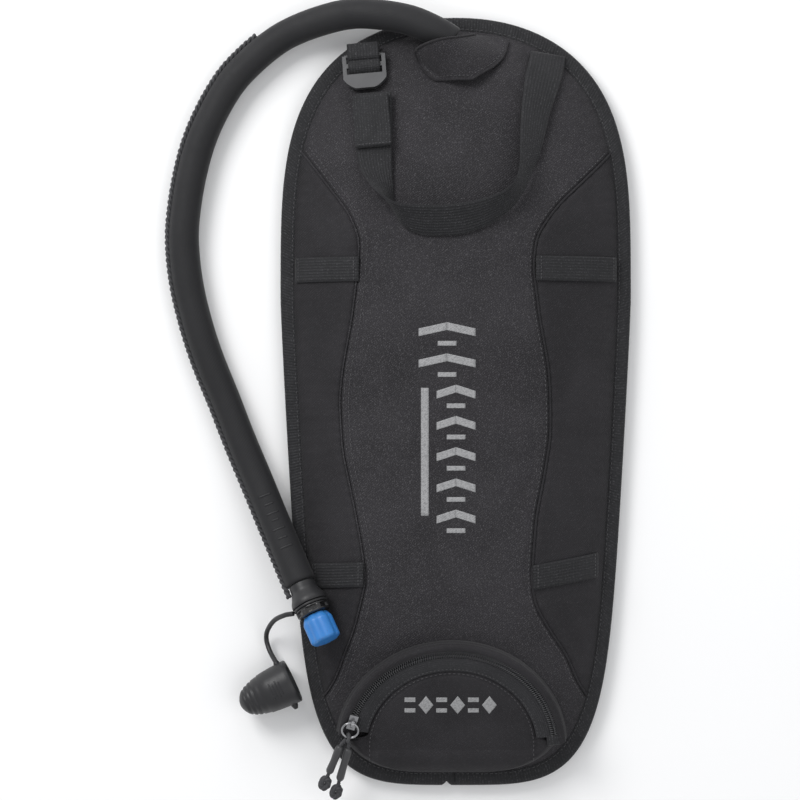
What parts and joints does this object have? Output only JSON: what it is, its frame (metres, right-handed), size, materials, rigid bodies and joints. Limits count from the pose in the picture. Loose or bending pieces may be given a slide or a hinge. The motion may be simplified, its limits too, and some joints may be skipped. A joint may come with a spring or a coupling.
{
  "type": "hydration bladder",
  "caption": "Insulated sewn pouch around a water reservoir, with an insulated hose to a bite valve, a hang strap, flat side loops and a small front pocket.",
  "frame": {"origin": "on the floor under the middle of the pouch, which lies on its back", "axes": "+X to the pouch's right as seen from the front, +Y towards its top edge, +Z out of its front, away from the floor"},
  "size_m": [0.3017, 0.5174, 0.0642],
  "materials": {
    "panel_fabric": "charcoal-black woven polyester with a fine diagonal speckle, soft sheen",
    "side_fabric": "charcoal-black plain-weave polyester, slightly smoother",
    "back_fabric": "black plain-weave polyester",
    "foam": "closed-cell grey foam",
    "liner": "silver reflective liner film",
    "webbing": "black ribbed polyester webbing and grosgrain tape",
    "buckle_plastic": "dark grey moulded acetal, satin",
    "zip_tape": "black woven zip tape",
    "zip_coil": "black nylon coil",
    "slider_metal": "gunmetal painted zinc, satin with bright edges",
    "pull_cord": "black braided cord",
    "pull_sleeve": "black heat-shrink sleeve",
    "bag_film": "translucent blue polyurethane film",
    "cap_plastic": "blue moulded plastic",
    "seal_rubber": "grey silicone seal",
    "link_plastic": "pale grey moulded plastic",
    "tube_plastic": "translucent polyurethane tube",
    "hose_cover": "black neoprene sleeve with smooth knit face and an overlocked seam",
    "boot_rubber": "black moulded rubber, satin",
    "fitting_black": "glossy black moulded plastic",
    "valve_silicone": "blue silicone, satin"
  },
  "bodies": {
    "root": {"front_center_panel": "panel_fabric", "front_side_panel_left": "side_fabric", "front_side_panel_right": "side_fabric", "front_foam": "foam", "front_liner": "liner", "back_panel": "back_fabric", "back_foam": "foam", "back_liner": "liner", "edge_binding": "webbing", "tube_port_patch": "side_fabric", "side_loop_upper_left": "webbing", "side_loop_upper_right": "webbing", "side_loop_lower_left": "webbing", "side_loop_lower_right": "webbing", "buckle_tab": "webbing", "hang_strap_anchor": "webbing", "pocket_panel": "panel_fabric", "pocket_gusset": "side_fabric", "pocket_zip_tape_inner": "zip_tape", "pocket_zip_tape_outer": "zip_tape", "pocket_zip_coil_inner": "zip_coil", "pocket_zip_coil_outer": "zip_coil", "pocket_zip_end_tab": "webbing", "back_zip_tape_upper": "zip_tape", "back_zip_tape_lower": "zip_tape", "back_zip_coil_upper": "zip_coil", "back_zip_coil_lower": "zip_coil", "reservoir_front_film": "bag_film", "reservoir_back_film": "bag_film", "fill_collar": "cap_plastic", "outlet_elbow": "cap_plastic", "quick_link_body": "link_plastic", "quick_link_oring": "seal_rubber", "reservoir_tube": "tube_plastic", "drink_tube": "tube_plastic", "tube_cover": "hose_cover", "valve_boot": "boot_rubber", "valve_adapter": "fitting_black"},
    "pocket_slider": {"pocket_zip_slider": "slider_metal"},
    "pocket_pull": {"pocket_pull_ring": "slider_metal", "pocket_pull_cord": "pull_cord", "pocket_pull_sleeves": "seal_rubber"},
    "hang_loop": {"ladder_lock_buckle": "buckle_plastic", "hang_strap_loop": "webbing", "hang_strap_tail": "webbing"},
    "back_slider": {"back_zip_slider": "slider_metal"},
    "back_pull": {"back_zip_pull": "slider_metal"},
    "cap": {"fill_cap": "cap_plastic", "fill_cap_gasket": "seal_rubber"},
    "link_button": {"quick_link_button": "cap_plastic"},
    "mouthpiece": {"bite_valve": "valve_silicone"},
    "cover": {"cover_tether": "boot_rubber", "valve_cover": "boot_rubber"}
  },
  "joints": [
    {"name": "pocket_zip_travel", "type": "hinge", "parent": "root", "child": "pocket_slider", "pos_m": [-0.003, -0.221, 0.029], "axis": [0, 0.342, -0.9397], "range_deg": [0, 148]},
    {"name": "pocket_pull_swing", "type": "hinge", "parent": "pocket_slider", "child": "pocket_pull", "pos_m": [-0.06707, -0.2043, 0.0404], "axis": [-0.9563, 0.2747, 0.1], "range_deg": [0, 150]},
    {"name": "hang_loop_lift", "type": "hinge", "parent": "root", "child": "hang_loop", "pos_m": [-0.06, 0.2274, 0.0245], "axis": [-0.9976, -0.0436, 0.0545], "range_deg": [0, 90]},
    {"name": "back_zip_travel", "type": "slide", "parent": "root", "child": "back_slider", "axis": [1, 0, 0], "range_m": [0, 0.112]},
    {"name": "back_pull_swing", "type": "hinge", "parent": "back_slider", "child": "back_pull", "pos_m": [-0.062, 0.196, 0.0007], "axis": [0, 1, 0], "range_deg": [0, 90]},
    {"name": "fill_cap_turn", "type": "hinge", "parent": "root", "child": "cap", "pos_m": [0, 0.152, 0.0063], "axis": [0, 0, 1], "range_deg": [0, 360]},
    {"name": "link_button_press", "type": "slide", "parent": "root", "child": "link_button", "axis": [0, 0, -1], "range_m": [0, 0.0008], "stiffness_N_per_m": 200},
    {"name": "mouthpiece_turn", "type": "hinge", "parent": "root", "child": "mouthpiece", "pos_m": [-0.1006, -0.114, 0.029], "axis": [0.4031, -0.8738, 0.2721], "continuous": true},
    {"name": "cover_swing", "type": "hinge", "parent": "root", "child": "cover", "pos_m": [-0.1006, -0.114, 0.029], "axis": [-0.4031, 0.8738, -0.2721], "range_deg": [0, 100]}
  ]
}
